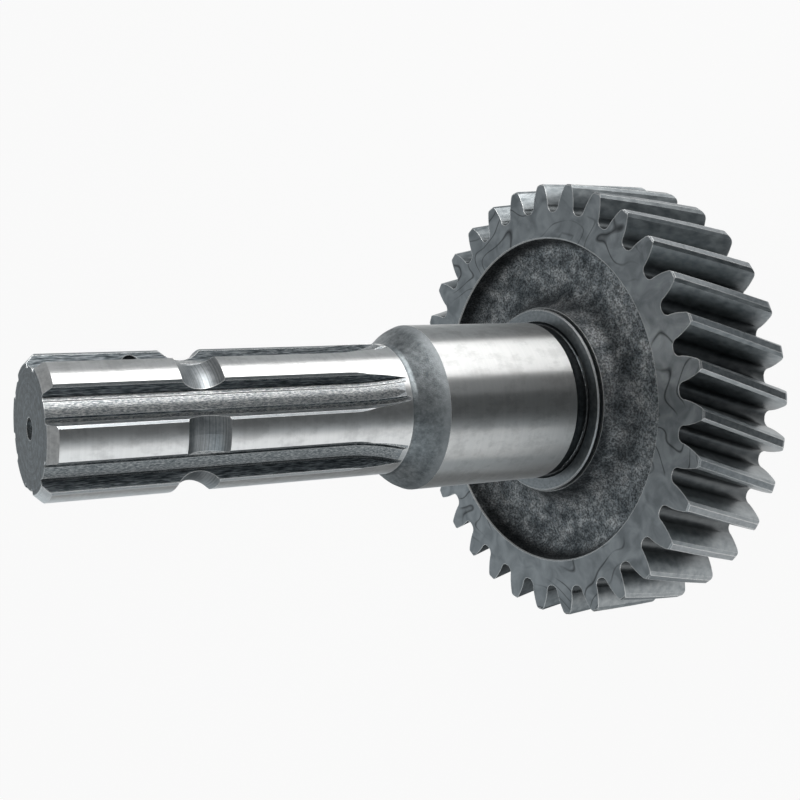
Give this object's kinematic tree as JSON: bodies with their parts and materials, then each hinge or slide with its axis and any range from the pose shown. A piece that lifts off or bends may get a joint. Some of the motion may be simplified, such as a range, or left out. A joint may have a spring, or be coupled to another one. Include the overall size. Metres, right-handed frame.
{
  "type": "power take-off stub shaft",
  "caption": "One-piece steel stub shaft with a six-key power take-off spline, a ground bearing seat, a collar and an integral helical gear.",
  "frame": {"origin": "centre of the rear journal's end face, which the shaft stands on", "axes": "+Z along the shaft's axis towards the spline end, +X through the middle of one spline key"},
  "size_m": [0.123, 0.123, 0.2018],
  "materials": {
    "steel": "ground journals and spline lands, dark oiled hobbed teeth and forged web"
  },
  "bodies": {
    "root": {"stub_shaft": "steel"}
  },
  "joints": []
}
